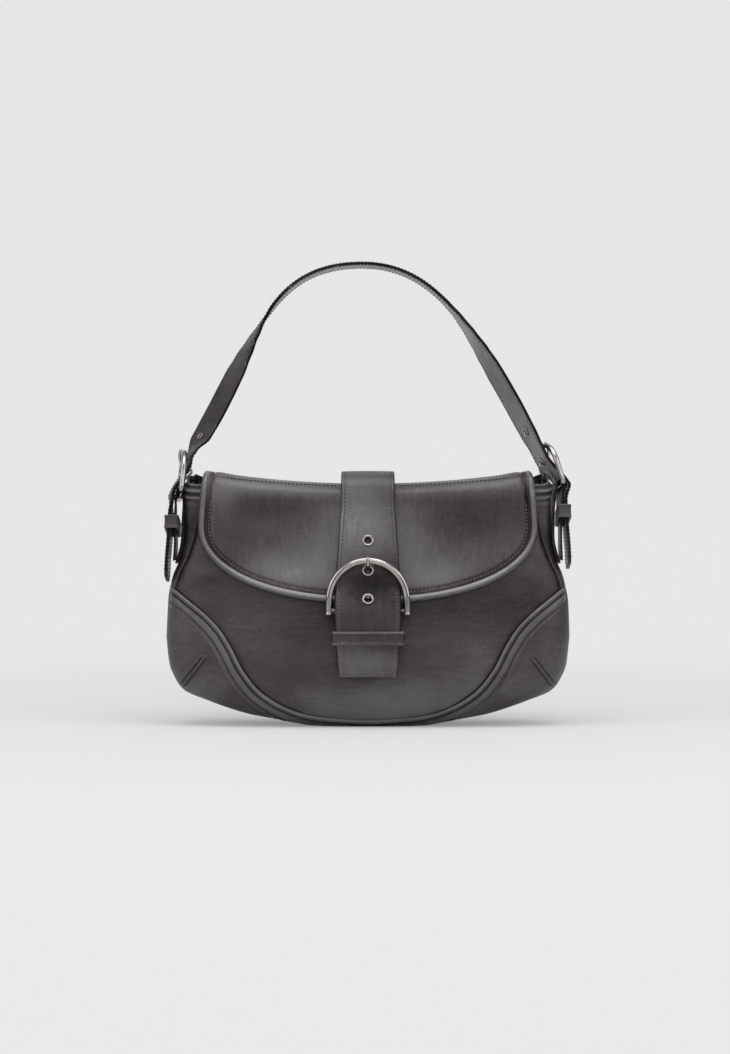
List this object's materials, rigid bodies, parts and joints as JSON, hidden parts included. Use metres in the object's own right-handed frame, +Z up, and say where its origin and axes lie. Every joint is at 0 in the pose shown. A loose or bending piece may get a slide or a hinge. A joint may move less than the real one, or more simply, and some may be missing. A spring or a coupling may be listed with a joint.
{
  "type": "baguette shoulder bag",
  "caption": "Small structured shoulder bag with a rounded flap, a buckled centre strap, patched lower corners and an adjustable shoulder strap on side buckles.",
  "frame": {"origin": "centre of the flat foot that the bag rests on", "axes": "+Z up, -Y the front with the buckled flap, +X to the right seen from the front"},
  "size_m": [0.279, 0.1084, 0.3222],
  "materials": {
    "body_leather": "burnished charcoal leather with a fine grain, satin",
    "strap_leather": "darker charcoal leather with painted edges and stitched borders",
    "lining_cloth": "plain woven black lining",
    "gunmetal": "polished gunmetal plating"
  },
  "bodies": {
    "bag": {"front_panel": "body_leather", "back_panel": "body_leather", "base_band": "body_leather", "gusset_left": "body_leather", "gusset_right": "body_leather", "lining": "lining_cloth", "flap_anchor": "body_leather", "strap_anchor": "strap_leather", "snap_socket": "gunmetal", "side_tab_left": "strap_leather", "side_tab_right": "strap_leather"},
    "flap": {"flap_panel": "body_leather", "flap_lining": "lining_cloth", "flap_piping": "body_leather", "centre_strap": "strap_leather", "centre_eyelets": "gunmetal", "buckle_frame": "gunmetal", "buckle_chape": "strap_leather", "snap_stud": "gunmetal"},
    "buckle_prong": {"buckle_prong": "gunmetal"},
    "strap_keeper": {"strap_keeper": "strap_leather"},
    "handle": {"shoulder_strap": "strap_leather", "strap_eyelets": "gunmetal", "side_frame_left": "gunmetal", "side_frame_right": "gunmetal"},
    "side_prong_left": {"side_prong_left": "gunmetal"},
    "side_prong_right": {"side_prong_right": "gunmetal"},
    "side_keeper_left": {"side_keeper_left": "strap_leather"},
    "side_keeper_right": {"side_keeper_right": "strap_leather"}
  },
  "joints": [
    {"name": "flap_hinge", "type": "hinge", "parent": "bag", "child": "flap", "pos_m": [0, 0.011, 0.1747], "axis": [-1, 0, 0], "range_deg": [0, 70]},
    {"name": "buckle_prong_play", "type": "hinge", "parent": "flap", "child": "buckle_prong", "pos_m": [0, -0.04211, 0.0795], "axis": [1, 0, 0], "range_deg": [0, 0.4]},
    {"name": "strap_keeper_slide", "type": "slide", "parent": "flap", "child": "strap_keeper", "axis": [0, -0.1752, 0.9845], "range_m": [-0.003, 0.002]},
    {"name": "handle_swing", "type": "hinge", "parent": "bag", "child": "handle", "pos_m": [0, 0, 0.13], "axis": [1, 0, 0], "range_deg": [-76, 104], "deforming": ["side_tab_left", "side_tab_right"]},
    {"name": "side_prong_left_play", "type": "hinge", "parent": "handle", "child": "side_prong_left", "pos_m": [-0.1298, 0.0069, 0.15765], "axis": [0.1392, -0.9609, 0.2396], "range_deg": [0, 0.8]},
    {"name": "side_prong_right_play", "type": "hinge", "parent": "handle", "child": "side_prong_right", "pos_m": [0.13, 0.00822, 0.16299], "axis": [-0.2756, 0.9327, -0.2326], "range_deg": [0, 0.8]},
    {"name": "side_keeper_left_slide", "type": "slide", "parent": "handle", "child": "side_keeper_left", "axis": [0, 0.2419, 0.9703], "range_m": [-0.004, 0.0015]},
    {"name": "side_keeper_right_slide", "type": "slide", "parent": "handle", "child": "side_keeper_right", "axis": [0, 0.2419, 0.9703], "range_m": [-0.004, 0.0015]}
  ]
}
